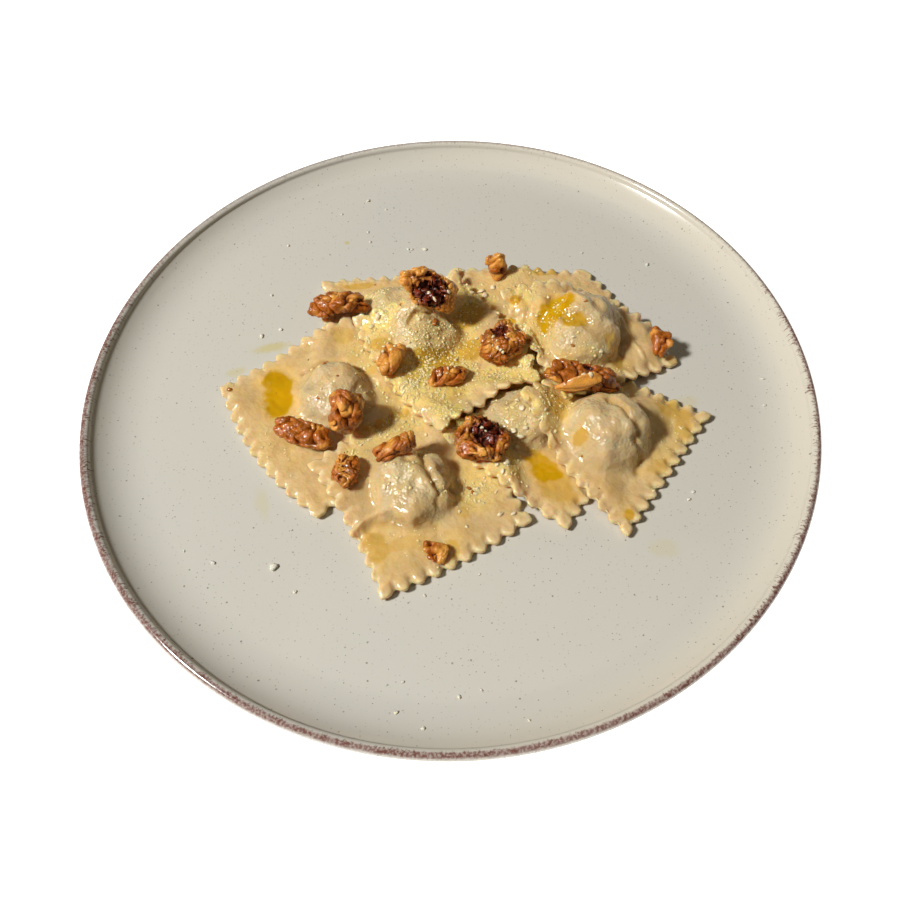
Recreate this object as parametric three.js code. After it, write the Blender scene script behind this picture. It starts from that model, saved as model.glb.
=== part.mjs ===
// Ravioli with walnuts, served on a stoneware plate. Millimetres, +Z up, the plate's foot on Z = 0 and
// its centre on the Z axis. +X is to the diner's right and -Y is the side nearest the diner. The food is
// given about the middle of the serving, which lies a little nearer the diner than the plate's.
//
// The plate is turned from one profile. Each raviolo is a closed slab of dough with a fluted edge and a
// filled dome, laid over whatever is already on the plate: drape() lets its underside sink until it
// touches. The walnut pieces are lobed solids set down on the dough in the same way.
import * as THREE from "three";
import { mergeVertices } from "three/addons/utils/BufferGeometryUtils.js";

const GAP = 0.3; // air kept between pieces that touch

const PLATE = {
  rimRadius: 140,
  height: 16.5,
  lipThickness: 3.8,
  wellRadius: 116.5,
  wellHeight: 8,
  footRadius: 88,
  footWidth: 5,
  footHeight: 3,
  segments: 48,
};

// How far the middle of the serving lies from the middle of the plate.
const SERVING = { x: 0, y: -6.9 };

const DOUGH = {
  thickness: 2.6, // of the flat border, where two sheets are pressed together
  edgeThickness: 2.2, // where the fluted wheel cut it
  flutePitch: 5.95,
  fluteDepth: 2.1,
  fluteRelief: 0.5, // how far a lobe stands above the notch beside it
  pressedBand: 4.2, // width of the border that the wheel marks
  ripple: 1.0, // how far the wet dough lifts off what it lies on
  rippleLength: 17,
};

// The filling under the upper sheet makes a dome that is never quite round or smooth.
const DOME = {
  unevenness: 0.14, // share by which its reach varies round it
  lumpiness: 0.12, // share by which its height varies
  lumpSize: 7,
  flatness: 3.2, // a higher power keeps the top flat further out
  steepness: 0.8, // a lower power makes the foot steeper
};

// How a walnut kernel is put together, in shares of its half size.
const KERNEL = {
  lobeDistance: 0.56, // of a lobe's centre from the kernel's
  lobeRadius: 0.52, // less lobeCrowding for each lobe
  lobeCrowding: 0.012,
  core: 0.66, // radius of the ball that shows between lobes
  jitter: 0.25, // of the lobes' centres
  radiusJitter: 0.3, // of their radii, as a share of the jitter
  squareness: 0.85, // under 1 fills out the corners
  dentDepth: 0.55,
  dentAngle: 0.55, // radians
  press: 2, // how deep its underside takes the shape of what it lies on
  steepest: 0.55, // slope that it leans with at most
};

// Where a flute's points lie in its pitch, and how much of the flute depth each is cut in.
const FLUTE = [
  { at: 0, cut: 1 },
  { at: 0.36, cut: 0 },
  { at: 0.64, cut: 0 },
];

// The ravioli from the lowest to the topmost. Corners run anticlockwise seen from above. bows are how far
// each side, from its corner to the next, bulges outwards. lifts raise the dough round a point.
const RAVIOLI = [
  {
    name: "raviolo_back_right",
    corners: [[3, 71], [20, 17], [80, 22], [59.6, 67.7]],
    bows: [0, 0, 4, 0],
    dome: { x: 41, y: 43, radius: 15, height: 11 },
    lifts: [{ x: 31.7, y: 67, radius: 7, height: 3 }],
  },
  {
    name: "raviolo_back_left",
    corners: [[-53, 65.5], [-50, 12], [4, 14], [6, 68]],
    bows: [0, 0, 0, 0],
    dome: { x: -19, y: 45, radius: 15, height: 9 },
    lifts: [],
  },
  {
    name: "raviolo_left",
    corners: [[-89.5, 9.9], [-48.3, -47.9], [0, -12], [-40.3, 43.6]],
    bows: [5.5, 0, 0, 1.5],
    dome: { x: -43, y: 3, radius: 15, height: 9.5 },
    lifts: [{ x: -89.5, y: 9.9, radius: 12, height: 1.5 }],
  },
  {
    name: "raviolo_front",
    corners: [[-53, -27.3], [-24.9, -79.5], [28.7, -51], [1, 8]],
    bows: [-2, 1.8, 0, 2],
    dome: { x: -13, y: -38, radius: 15.5, height: 11 },
    lifts: [],
  },
  {
    name: "raviolo_middle",
    corners: [[-2.8, -19.1], [40.7, -55], [75, -10], [31, 22]],
    bows: [1.5, 0, 0, 0],
    dome: { x: 28, y: -9, radius: 15, height: 9 },
    lifts: [],
  },
  {
    name: "raviolo_right",
    corners: [[26, -6.5], [61.5, -58.6], [100.3, -8], [50, 22.5]],
    bows: [2, 0, -0.5, 0],
    dome: { x: 58, y: -18, radius: 16.5, height: 12 },
    lifts: [{ x: 26, y: -5, radius: 8, height: 3 }],
  },
  {
    name: "raviolo_centre",
    corners: [[-38.4, 38.5], [-2.6, -19.5], [36, 7], [4.1, 63.2]],
    bows: [4.5, -2.6, 5, -6],
    dome: { x: -8.5, y: 30, radius: 14, height: 7 },
    lifts: [{ x: 4, y: 62, radius: 9, height: 1.5 }],
  },
  {
    name: "raviolo_upper_right",
    corners: [[21, 44], [42.7, -7.9], [91.5, 16.9], [65, 47]],
    bows: [0, 0, 6, 4],
    dome: { x: 54, y: 26, radius: 17, height: 13 },
    lifts: [{ x: 21, y: 44, radius: 8, height: 3 }],
  },
];

// Walnut pieces: place, length x width x height, turn about Z in degrees, rounded lobes, and how many
// times the facets of a kernel are split. arch lifts the middle; dent is the way that a hollow opens.
const WALNUTS = [
  { name: "walnut_arched", at: [-43.6, 44.3], size: [28, 11, 9], turn: 8, lobes: 9, detail: 3, arch: 3 },
  { name: "walnut_hollow_quarter", at: [-5.8, 39.8], size: [26, 17, 15], turn: -12, lobes: 8, detail: 3,
    dent: [-0.1, -0.75, 0.65] },
  { name: "walnut_stub", at: [21.5, 65.5], size: [10, 9, 13], turn: 0, lobes: 4, detail: 2 },
  { name: "walnut_kernel", at: [20.9, 20.2], size: [20, 19, 12], turn: 30, lobes: 12, detail: 3 },
  { name: "walnut_cheesy", at: [-21.8, 14], size: [11, 15, 8], turn: -15, lobes: 6, detail: 2 },
  { name: "walnut_oval", at: [1, 7], size: [18, 10, 7.5], turn: 15, lobes: 6, detail: 2 },
  { name: "walnut_long", at: [49.8, 0.5], size: [33, 13, 9], turn: 2, lobes: 11, detail: 3, arch: 1 },
  { name: "walnut_three_lobes", at: [84.2, 23], size: [9, 14, 9], turn: 0, lobes: 3, detail: 2 },
  { name: "walnut_lobed", at: [-54.6, -15], size: [27, 12, 9], turn: -20, lobes: 9, detail: 2 },
  { name: "walnut_upright", at: [-37.8, -11.2], size: [19, 13, 19], turn: 84, lobes: 7, detail: 2 },
  { name: "walnut_brain", at: [-37.4, -32.5], size: [16, 11, 8.5], turn: 80, lobes: 10, detail: 2 },
  { name: "walnut_oblong", at: [-18.8, -26.9], size: [20, 8, 7.5], turn: 18, lobes: 6, detail: 2 },
  { name: "walnut_dark_core", at: [12.6, -22.8], size: [23, 20, 11], turn: -25, lobes: 10, detail: 3,
    dent: [0, -0.2, 1] },
  { name: "walnut_crumb", at: [-5.8, -63], size: [10, 9, 5.5], turn: 0, lobes: 4, detail: 2 },
];

const DEGREE = Math.PI / 180;
const UP = new THREE.Vector3(0, 0, 1);
const vec2 = ([x, y]) => new THREE.Vector2(x, y);

// ---------------------------------------------------------------- noise

// A fixed pseudo-random number from 0 to 1 for each whole x, y, z.
function lattice(x, y, z) {
  let h = (Math.imul(x, 374761393) ^ Math.imul(y, 668265263) ^ Math.imul(z, 2147483647)) | 0;
  h = Math.imul(h ^ (h >>> 13), 1274126177);
  return ((h ^ (h >>> 16)) >>> 0) / 4294967295;
}

// Smooth noise from -1 to 1 with features one unit across.
function noise(x, y, z) {
  const [x0, y0, z0] = [x, y, z].map(Math.floor);
  const ease = (t) => t * t * (3 - 2 * t);
  const [fx, fy, fz] = [ease(x - x0), ease(y - y0), ease(z - z0)];
  const mix = THREE.MathUtils.lerp;
  const row = (j, k) => mix(lattice(x0, y0 + j, z0 + k), lattice(x0 + 1, y0 + j, z0 + k), fx);
  return 2 * mix(mix(row(0, 0), row(1, 0), fy), mix(row(0, 1), row(1, 1), fy), fz) - 1;
}

// ---------------------------------------------------------------- what lies on the plate so far

// A height map of everything laid down so far, on a square mesh of points one millimetre apart.
class Ground {
  constructor(height, reach) {
    this.reach = reach;
    this.side = 2 * reach + 1;
    this.heights = new Float64Array(this.side * this.side).fill(height);
  }

  // The highest of the four points round x, y, so that a step is met before it is reached.
  at(x, y) {
    const i = Math.floor(x + this.reach);
    const j = Math.floor(y + this.reach);
    const k = j * this.side + i;
    const h = this.heights;
    return Math.max(h[k], h[k + 1], h[k + this.side], h[k + this.side + 1]);
  }

  // Raises the map to a triangle's surface where the triangle is above it.
  cover([a, b, c]) {
    const area = (b.x - a.x) * (c.y - a.y) - (c.x - a.x) * (b.y - a.y);
    if (Math.abs(area) < 1e-9) return;
    const xs = [a.x, b.x, c.x];
    const ys = [a.y, b.y, c.y];
    for (let y = Math.ceil(Math.min(...ys)); y <= Math.max(...ys); y++)
      for (let x = Math.ceil(Math.min(...xs)); x <= Math.max(...xs); x++) {
        const v = ((x - a.x) * (c.y - a.y) - (c.x - a.x) * (y - a.y)) / area;
        const w = ((b.x - a.x) * (y - a.y) - (x - a.x) * (b.y - a.y)) / area;
        if (v < 0 || w < 0 || v + w > 1) continue;
        const k = (y + this.reach) * this.side + x + this.reach;
        this.heights[k] = Math.max(this.heights[k], a.z + v * (b.z - a.z) + w * (c.z - a.z));
      }
  }
}

// Calls visit(weights) at points about a millimetre apart over a triangle of vectors.
function sampleTriangle([a, b, c], visit) {
  const longest = Math.max(a.distanceTo(b), b.distanceTo(c), c.distanceTo(a));
  const steps = Math.max(1, Math.ceil(longest));
  for (let i = 0; i <= steps; i++)
    for (let j = 0; j <= steps - i; j++) visit([i / steps, j / steps, (steps - i - j) / steps]);
}

// How far the point of a triangle with these weights is under the ground and its gap.
function depthUnder(ground, corners, weights) {
  const mean = (axis) => corners.reduce((sum, p, i) => sum + weights[i] * p[axis], 0);
  return ground.at(mean("x"), mean("y")) + GAP - mean("z");
}

// ---------------------------------------------------------------- ravioli

// A point on a side of the outline, t of the way from its corner to the next, moved outwards by push.
function sidePoint(spec, side, t, push = 0) {
  const from = vec2(spec.corners[side]);
  const along = vec2(spec.corners[(side + 1) % 4]).sub(from);
  const outward = new THREE.Vector2(along.y, -along.x).normalize();
  const bulge = 4 * spec.bows[side] * t * (1 - t);
  return from.addScaledVector(along, t).addScaledVector(outward, bulge + push);
}

function flutesOn(spec, side) {
  const length = vec2(spec.corners[side]).distanceTo(vec2(spec.corners[(side + 1) % 4]));
  return Math.round(length / DOUGH.flutePitch);
}

// The fluted cut edge: three points to a flute. A corner of the sheet is the tip of a lobe.
function flutedEdge(spec) {
  const ring = [];
  for (let side = 0; side < 4; side++) {
    const flutes = flutesOn(spec, side);
    for (let i = 0; i < flutes; i++)
      for (const { at, cut } of FLUTE) {
        const notch = i + at > 0 ? cut : 0;
        const t = (i + at) / flutes;
        const p = sidePoint(spec, side, t, -notch * DOUGH.fluteDepth);
        ring.push({ x: p.x, y: p.y, turn: side + t, notch });
      }
  }
  return ring;
}

// A ring inside the edge. place(edgePoint, towards) puts each point, given the outline point it belongs to
// and the unit vector from the dome's centre to it.
function innerRing(spec, flutesPerPoint, place) {
  const centre = new THREE.Vector2(spec.dome.x, spec.dome.y);
  const ring = [];
  for (let side = 0; side < 4; side++) {
    const points = Math.round(flutesOn(spec, side) / flutesPerPoint);
    for (let i = 0; i < points; i++) {
      const edge = sidePoint(spec, side, i / points);
      const p = place(edge, edge.clone().sub(centre).normalize());
      ring.push({ x: p.x, y: p.y, turn: side + i / points, notch: 0 });
    }
  }
  return ring;
}

// The dome's reach from its centre in the direction of a unit vector.
function domeReach({ x, y, radius }, towards) {
  const ROUND = 1.6; // noise features met on the way round
  return radius * (1 + DOME.unevenness * noise(towards.x * ROUND + x, towards.y * ROUND + y, radius));
}

function ringsOf(spec) {
  const centre = new THREE.Vector2(spec.dome.x, spec.dome.y);
  const circle = (share) => (edge, towards) =>
    centre.clone().addScaledVector(towards, domeReach(spec.dome, towards) * share);
  const between = (share) => (edge, towards) => circle(1)(edge, towards).lerp(edge, share);
  const pressed = (edge, towards) => edge.clone().addScaledVector(towards, -DOUGH.pressedBand);
  return [
    flutedEdge(spec),
    innerRing(spec, 1, pressed),
    innerRing(spec, 1, between(0.6)),
    innerRing(spec, 1, between(0.27)),
    innerRing(spec, 2, circle(1)),
    innerRing(spec, 2, circle(0.8)),
    innerRing(spec, 2, circle(0.45)),
    [{ x: centre.x, y: centre.y, turn: 0, notch: 0 }],
  ];
}

// Triangles between a ring and the one inside it, as pairs of [ring, index], anticlockwise from above.
function stitch(outer, inner, first) {
  const triangles = [];
  let [i, j] = [0, 0];
  const turnOf = (ring, k) => (k < ring.length ? ring[k].turn : 4);
  while (i < outer.length || (inner.length > 1 && j < inner.length)) {
    const o = first.outer + (i % outer.length);
    const n = first.inner + (j % inner.length);
    const outerNext = turnOf(outer, i + 1);
    const innerNext = inner.length > 1 ? turnOf(inner, j + 1) : Infinity;
    if (j >= inner.length || (i < outer.length && outerNext <= innerNext)) {
      triangles.push([o, first.outer + ((i + 1) % outer.length), n]);
      i++;
    } else {
      triangles.push([o, first.inner + ((j + 1) % inner.length), n]);
      j++;
    }
  }
  return triangles;
}

// Lets a sheet sink onto the ground: each point is drawn to its neighbours and down, and every spot of
// every triangle is pushed back out of what lies below.
function drape(points, triangles, ground) {
  const SINK = 0.12; // each step down
  const PULL = 0.5; // share of the way to the mean of a point's neighbours
  const STEPS = 260;
  const LAST = 20; // steps that only push out of the ground
  const neighbours = points.map(() => new Set());
  for (const [a, b, c] of triangles)
    for (const [p, q] of [[a, b], [b, c], [c, a]]) {
      neighbours[p].add(q);
      neighbours[q].add(p);
    }
  for (const p of points) p.z = ground.at(p.x, p.y) + GAP;
  for (let step = 0; step < STEPS; step++) {
    if (step < STEPS - LAST) {
      const drawn = points.map((p, i) => {
        let sum = 0;
        for (const q of neighbours[i]) sum += points[q].z;
        return THREE.MathUtils.lerp(p.z, sum / neighbours[i].size, PULL) - SINK;
      });
      points.forEach((p, i) => (p.z = drawn[i]));
    }
    for (const t of triangles) {
      const corners = t.map((i) => points[i]);
      sampleTriangle(corners, (weights) => {
        const depth = depthUnder(ground, corners, weights);
        if (depth <= 0) return;
        const spread = weights.reduce((sum, w) => sum + w * w, 0);
        corners.forEach((p, i) => (p.z += (depth * weights[i]) / spread));
      });
    }
  }
}

// The filled dome's height over the flat dough at x, y: steep at its foot, lumpy on top.
function domeHeight(dome, x, y) {
  const towards = new THREE.Vector2(x - dome.x, y - dome.y);
  const share = towards.length() / domeReach(dome, towards.clone().normalize());
  if (share >= 0.999) return 0;
  const lump = 1 + DOME.lumpiness * noise(x / DOME.lumpSize, y / DOME.lumpSize, dome.height);
  return dome.height * lump * (1 - share ** DOME.flatness) ** DOME.steepness;
}

function liftHeight(spec, x, y) {
  const ripple = DOUGH.ripple * (0.5 + 0.5 * noise(x / DOUGH.rippleLength, y / DOUGH.rippleLength, 7));
  const bumps = spec.lifts.map((l) => {
    const share = Math.hypot(x - l.x, y - l.y) / l.radius;
    return l.height * Math.exp(-share * share);
  });
  return bumps.reduce((sum, h) => sum + h, ripple);
}

function raviolo(spec, ground) {
  const rings = ringsOf(spec);
  const points = rings.flat().map((p) => new THREE.Vector3(p.x, p.y, 0));
  const notches = rings.flat().map((p) => p.notch);
  const edgeCount = rings[0].length;
  const faces = [];
  let start = 0;
  for (let k = 0; k + 1 < rings.length; k++) {
    const first = { outer: start, inner: start + rings[k].length };
    faces.push(...stitch(rings[k], rings[k + 1], first));
    start = first.inner;
  }
  drape(points, faces, ground);

  const top = [];
  points.forEach((p, i) => {
    p.z += liftHeight(spec, p.x, p.y);
    const thickness = i < edgeCount ? DOUGH.edgeThickness : DOUGH.thickness;
    const relief = i < edgeCount ? DOUGH.fluteRelief * (0.5 - notches[i]) : 0;
    top.push(new THREE.Vector3(p.x, p.y, p.z + thickness + relief + domeHeight(spec.dome, p.x, p.y)));
  });

  const count = points.length;
  const index = [];
  for (const [a, b, c] of faces) index.push(a + count, b + count, c + count, a, c, b);
  for (let i = 0; i < edgeCount; i++) {
    const j = (i + 1) % edgeCount;
    index.push(i, j, j + count, i, j + count, i + count);
  }
  for (const t of faces) ground.cover(t.map((i) => top[i]));
  return new THREE.BufferGeometry().setFromPoints([...points, ...top]).setIndex(index);
}

// ---------------------------------------------------------------- walnuts

// Centres and radii of a kernel's lobes in a unit ball, spread evenly and then jittered by the seed.
function lobesOf(count, seed) {
  const GOLDEN_TURN = Math.PI * (3 - Math.sqrt(5));
  return Array.from({ length: count }, (_, i) => {
    const jitter = (axis) => KERNEL.jitter * noise(i * 1.7 + seed, axis * 2.3, seed);
    const z = 1 - (2 * i + 1) / count;
    const across = Math.sqrt(1 - z * z);
    const centre = new THREE.Vector3(
      across * Math.cos(i * GOLDEN_TURN) + jitter(0),
      across * Math.sin(i * GOLDEN_TURN) + jitter(1),
      z + jitter(2),
    );
    const radius = KERNEL.lobeRadius - KERNEL.lobeCrowding * count + KERNEL.radiusJitter * jitter(3);
    return { centre: centre.multiplyScalar(KERNEL.lobeDistance), radius };
  });
}

// How far the surface of the joined lobes is from the middle of the kernel, along a unit direction.
function kernelReach(lobes, direction) {
  const reaches = lobes.map(({ centre, radius }) => {
    const along = centre.dot(direction);
    const inside = radius * radius - centre.lengthSq() + along * along;
    return along > 0 && inside > 0 ? along + Math.sqrt(inside) : 0;
  });
  return Math.max(KERNEL.core, ...reaches);
}

// A kernel piece about the origin: a squarish ball of rounded lobes with creases between them.
function kernel({ size, lobes, detail, arch = 0, dent }, seed) {
  const ball = new THREE.IcosahedronGeometry(1, detail);
  ball.deleteAttribute("normal");
  ball.deleteAttribute("uv");
  const geometry = mergeVertices(ball, 1e-4);
  const position = geometry.getAttribute("position");
  const hollow = dent && new THREE.Vector3(...dent).normalize();
  const shape = lobesOf(lobes, seed);
  const p = new THREE.Vector3();
  for (let i = 0; i < position.count; i++) {
    p.fromBufferAttribute(position, i);
    const off = hollow ? p.angleTo(hollow) / KERNEL.dentAngle : Infinity;
    p.multiplyScalar(kernelReach(shape, p) * (1 - KERNEL.dentDepth * Math.exp(-off * off)));
    const square = (v, axis) => (Math.sign(v) * Math.abs(v) ** KERNEL.squareness * size[axis]) / 2;
    p.set(...p.toArray().map(square));
    p.z += arch * (1 - ((2 * p.x) / size[0]) ** 2);
    position.setXYZ(i, p.x, p.y, p.z);
  }
  return geometry;
}

// The way up from the ground round x, y, taken across the width of a kernel and leaning a little at most.
function groundNormal(ground, [x, y], [length, width]) {
  const slope = (dx, dy) => {
    const rise = ground.at(x + dx, y + dy) - ground.at(x - dx, y - dy);
    return THREE.MathUtils.clamp(rise / (2 * Math.hypot(dx, dy)), -KERNEL.steepest, KERNEL.steepest);
  };
  const span = (length + width) / 6;
  return new THREE.Vector3(-slope(span, 0), -slope(0, span), 1).normalize();
}

// Sets a kernel down on the ground, with its underside pressed into the shape of what it lies on.
function settle(geometry, ground) {
  const position = geometry.getAttribute("position");
  const points = Array.from({ length: position.count }, (_, i) =>
    new THREE.Vector3().fromBufferAttribute(position, i),
  );
  const faces = [];
  for (let i = 0; i < geometry.index.count; i += 3)
    faces.push([0, 1, 2].map((k) => points[geometry.index.getX(i + k)]));
  const deepest = () => {
    let depth = -Infinity;
    for (const t of faces)
      sampleTriangle(t, (weights) => (depth = Math.max(depth, depthUnder(ground, t, weights))));
    return depth;
  };
  const raise = (height) => points.forEach((p) => (p.z += height));
  raise(deepest() - KERNEL.press);
  for (const p of points) p.z = Math.max(p.z, ground.at(p.x, p.y) + GAP);
  raise(deepest());
  geometry.setFromPoints(points);
  for (const t of faces) ground.cover(t);
}

function walnut(spec, seed, ground) {
  const geometry = kernel(spec, seed);
  const lean = new THREE.Quaternion().setFromUnitVectors(UP, groundNormal(ground, spec.at, spec.size));
  geometry.rotateZ(spec.turn * DEGREE);
  geometry.applyQuaternion(lean);
  geometry.translate(spec.at[0], spec.at[1], 0);
  settle(geometry, ground);
  return geometry;
}

// ---------------------------------------------------------------- plate

// The plate's section, from the middle of its underside out, over the lip and back along the well.
function plateProfile() {
  const { rimRadius, height, lipThickness, wellRadius, wellHeight } = PLATE;
  const { footRadius, footWidth, footHeight } = PLATE;
  const lipRadius = lipThickness / 2;
  const lipZ = height - lipRadius;
  const path = new THREE.Path();
  path.moveTo(0, footHeight);
  path.lineTo(footRadius - footWidth - 0.5, footHeight);
  path.lineTo(footRadius - footWidth, 0);
  path.lineTo(footRadius, 0);
  path.lineTo(footRadius + 2, footHeight);
  const outer = new THREE.CubicBezierCurve(
    new THREE.Vector2(footRadius + 2, footHeight),
    new THREE.Vector2(wellRadius + 8, footHeight + 0.5),
    new THREE.Vector2(rimRadius - 3, wellHeight - 3),
    new THREE.Vector2(rimRadius, lipZ),
  );
  const inner = new THREE.CubicBezierCurve(
    new THREE.Vector2(rimRadius - lipThickness, lipZ),
    new THREE.Vector2(rimRadius - lipThickness - 4.2, wellHeight + 2.8),
    new THREE.Vector2(wellRadius + 10.5, wellHeight + 0.2),
    new THREE.Vector2(wellRadius, wellHeight),
  );
  const lipTop = new THREE.Vector2(rimRadius - lipRadius, height);
  const OUTER_STEPS = 3;
  const INNER_STEPS = 4;
  return [
    ...path.getPoints(1),
    ...outer.getPoints(OUTER_STEPS).slice(1),
    lipTop,
    ...inner.getPoints(INNER_STEPS),
    new THREE.Vector2(0, wellHeight),
  ];
}

function plate() {
  const geometry = new THREE.LatheGeometry(plateProfile(), PLATE.segments);
  geometry.rotateX(Math.PI / 2);
  return geometry;
}

// ---------------------------------------------------------------- the plated dish

const glaze = new THREE.MeshStandardMaterial({ color: "#cfc8bb", roughness: 0.25 });
const pasta = new THREE.MeshStandardMaterial({ color: "#dcc38a", roughness: 0.35 });
const nut = new THREE.MeshStandardMaterial({ color: "#a8622a", roughness: 0.5 });

const dish = new THREE.Group();
const food = new THREE.Group();
food.position.set(SERVING.x, SERVING.y, 0);
dish.add(food);
function add(group, name, geometry, material) {
  const mesh = new THREE.Mesh(geometry, material);
  mesh.name = name;
  group.add(mesh);
}

const ground = new Ground(PLATE.wellHeight, Math.ceil(PLATE.wellRadius));
add(dish, "plate", plate(), glaze);
for (const spec of RAVIOLI) add(food, spec.name, raviolo(spec, ground), pasta);
WALNUTS.forEach((spec, i) => add(food, spec.name, walnut(spec, 3.7 * (i + 1), ground), nut));

export default dish;
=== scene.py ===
import math
import random

import bpy
import numpy as np
from bpy.props import FloatProperty, FloatVectorProperty, IntProperty, PointerProperty
from mathutils import Matrix, Vector, noise
from mathutils.bvhtree import BVHTree


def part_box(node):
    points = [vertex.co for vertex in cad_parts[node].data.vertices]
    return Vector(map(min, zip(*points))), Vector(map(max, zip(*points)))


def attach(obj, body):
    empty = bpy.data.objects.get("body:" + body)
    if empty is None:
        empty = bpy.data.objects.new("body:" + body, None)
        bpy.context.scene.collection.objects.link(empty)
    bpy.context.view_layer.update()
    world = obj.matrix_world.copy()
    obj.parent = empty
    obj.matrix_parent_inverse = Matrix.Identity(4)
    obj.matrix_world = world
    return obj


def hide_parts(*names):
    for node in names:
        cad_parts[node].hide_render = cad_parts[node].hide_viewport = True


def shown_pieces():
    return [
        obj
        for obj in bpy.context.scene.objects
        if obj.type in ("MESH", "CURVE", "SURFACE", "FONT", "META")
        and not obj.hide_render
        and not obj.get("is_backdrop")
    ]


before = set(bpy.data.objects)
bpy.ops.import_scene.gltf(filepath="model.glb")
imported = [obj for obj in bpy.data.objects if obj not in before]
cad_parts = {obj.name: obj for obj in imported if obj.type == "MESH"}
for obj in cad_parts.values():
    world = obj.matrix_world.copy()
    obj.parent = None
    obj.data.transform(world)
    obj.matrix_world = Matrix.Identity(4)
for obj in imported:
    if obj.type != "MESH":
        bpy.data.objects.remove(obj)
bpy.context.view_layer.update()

bl_info = {
    "name": "Plated ravioli",
    "version": (1, 0, 0),
    "blender": (4, 5, 0),
    "location": "3D View > Sidebar > Ravioli",
    "description": "Ravioli with walnuts, cheese and oil on a stoneware plate",
    "category": "Add Mesh",
}

MM = 0.001
RIM_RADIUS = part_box("plate")[1].x
RIM_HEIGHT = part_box("plate")[1].z
WELL_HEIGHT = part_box("raviolo_back_right")[0].z - 0.3 * MM
SERVING = np.array((0, -6.9, 0))  # the point that all food is given about, in millimetres

# ---- what lies on the plate (millimetres)

# Each raviolo: the middle and reach of its dome, how lumpy its filling is, how far its sheet waves, how
# deep the wheel crimped it, and the folds pressed into it: points along the fold, its width and its
# depth (negative for a ridge).
RAVIOLI = {
    "back_right": ((41, 43, 15), 0.6, 1.0, 0.3),
    "back_left": ((-19, 45, 15), 0.7, 1.0, 0.25),
    "left": ((-43, 3, 15), 0.9, 1.1, 0.3, [
        ([(-57, 15), (-50, 18.5), (-42, 19), (-33, 14)], 1.0, 0.9),
        ([(-53, 4), (-48, 8), (-42, 9)], 2.0, 0.6),
    ]),
    "front": ((-13, -38, 15.5), 1.15, 1.0, 0.6, [
        ([(-36, -55), (-31, -50), (-26, -46.5), (-20, -48), (-14, -51.5)], 1.2, -1.1),
        ([(-33, -56), (-28, -51), (-22, -50.5), (-14, -54), (-6, -53)], 1.4, 0.9),
        ([(-10, -27), (-8.4, -34), (-6.7, -38), (-3.5, -43)], 1.4, 1.9),
        ([(-16, -31), (-11, -33), (-7, -36)], 1.5, 1.0),
        ([(-5, -47), (-3, -43), (1, -40)], 1.2, 1.3),
        ([(-20, -45), (-16, -41), (-13, -36)], 1.9, -0.8),
    ]),
    "middle": ((28, -9, 15), 0.7, 0.9, 0.7, [
        ([(22, -6), (28, -2), (34, -5)], 1.4, 0.9),
        ([(24, -14), (29, -12), (33, -15)], 1.6, -0.7),
    ]),
    "right": ((58, -18, 16.5), 0.9, 0.9, 0.85, [
        ([(59, -9), (62.5, -14), (65, -19), (69, -23)], 1.3, 1.9),
        ([(64, -8), (68, -13), (70, -19)], 1.5, -1.0),
        ([(67, -25), (70, -29), (68, -33)], 1.4, 1.2),
        ([(71, -8), (73, -13), (74, -19)], 0.8, 0.8),
    ]),
    "centre": ((-8.5, 30, 14), 0.8, 1.1, 0.35, [
        ([(-15, 30), (-11, 33), (-6, 34.5)], 0.8, 1.4),
        ([(-20, 34), (-14, 36.5), (-7, 38)], 1.3, -0.6),
        ([(7, 26), (8, 31), (6, 36)], 1.6, 0.9),
    ]),
    "upper_right": ((54, 26, 17), 1.2, 1.0, 0.7, [
        ([(47, 39), (53, 33), (58, 27), (66, 22)], 2.6, -1.3),
        ([(42, 38), (41, 32), (46, 26), (53, 24)], 2.4, 1.6),
        ([(66, 31), (69, 25), (68, 19)], 1.8, 1.2),
        ([(57, 33), (61, 28), (60, 22)], 1.8, 0.9),
        ([(30, 41), (32, 36), (31, 31)], 1.2, 0.9),
        ([(70, 35), (72, 29), (74, 23), (77, 18)], 0.7, -0.6),
    ]),
}

# Pools of oil on the food: x, y, half length, half width, turn in degrees, strength.
POOLS = [
    (-67.6, 12.5, 6.6, 5.6, 0, 1), (-66.5, 8, 6.2, 6, 0, 1), (-65.6, 2.5, 6.6, 7, 0, 1),
    (-36, 61, 8, 2, 0, 0.55), (-27, -60, 5.2, 7, 20, 0.5), (-15, -59, 9, 3.4, 4, 0.3),
    (0, -61.5, 3.4, 4.4, 0, 0.5), (4, -48, 2.4, 2.6, 0, 0.35), (-27, -11, 6, 3.2, 20, 0.6),
    (-19, -6, 4, 3, 0, 0.6), (34, -30, 8.5, 5.4, -50, 1), (38, -38, 9.5, 6.5, -50, 0.5),
    (85, -6, 8, 5, -30, 0.5), (88, -14, 4, 6, 0, 0.4), (40, -9, 5, 5.6, 0, 0.5), (47, -23, 2.6, 3, 0, 0.6),
    (76, -31, 6, 3.2, 20, 0.35), (63, -50, 2, 2.6, 0, 0.85), (-5, 17, 12, 5.2, 10, 0.85),
    (9, 23, 7, 5.4, 20, 0.7), (9, 41, 6, 8.5, -35, 0.7), (-26, 24, 5.5, 4, 0, 0.6),
    (-12, 10, 8, 6, -30, 0.55), (-42, 32, 5, 5, 0, 0.35), (0, 0, 8, 5.5, 20, 0.3),
    (27.3, 40, 2.4, 2.2, 0, 0.9), (42, 32, 9.4, 6, 52, 1), (48, 25, 6, 3.4, -10, 0.9),
    (64.5, 16, 6.4, 3.6, -55, 0.55), (43, 66.5, 7.5, 2.6, 0, 0.6), (90, 18, 4, 2.5, 30, 0.35),
    (-30, 14, 3.6, 2.4, 0, 0.4), (-4.5, 6, 6, 4, 0, 0.35),
]

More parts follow.
